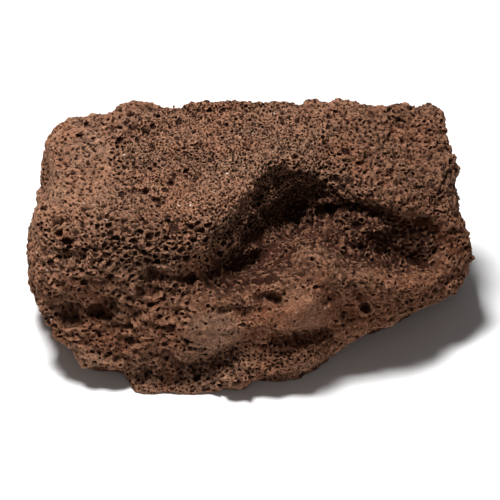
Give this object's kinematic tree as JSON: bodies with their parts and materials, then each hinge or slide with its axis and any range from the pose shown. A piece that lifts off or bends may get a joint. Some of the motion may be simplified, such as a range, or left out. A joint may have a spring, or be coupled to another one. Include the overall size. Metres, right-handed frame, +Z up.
{
  "type": "lava rock",
  "caption": "Blocky fist-sized piece of porous red-brown volcanic rock with a deep scoop in its broad upper side, lying on a flat underside.",
  "frame": {"origin": "on the ground, under the middle of the rock's bounding box", "axes": "+X along the rock's length, to the right as the scooped side is seen; +Y from the scooped side towards the back; +Z up, square to the flat underside"},
  "size_m": [0.1538, 0.0874, 0.0661],
  "materials": {
    "scoria": "rough, porous, matt; tan-brown with rust-red patches and darker pores"
  },
  "bodies": {
    "root": {"lava_rock": "scoria"}
  },
  "joints": []
}
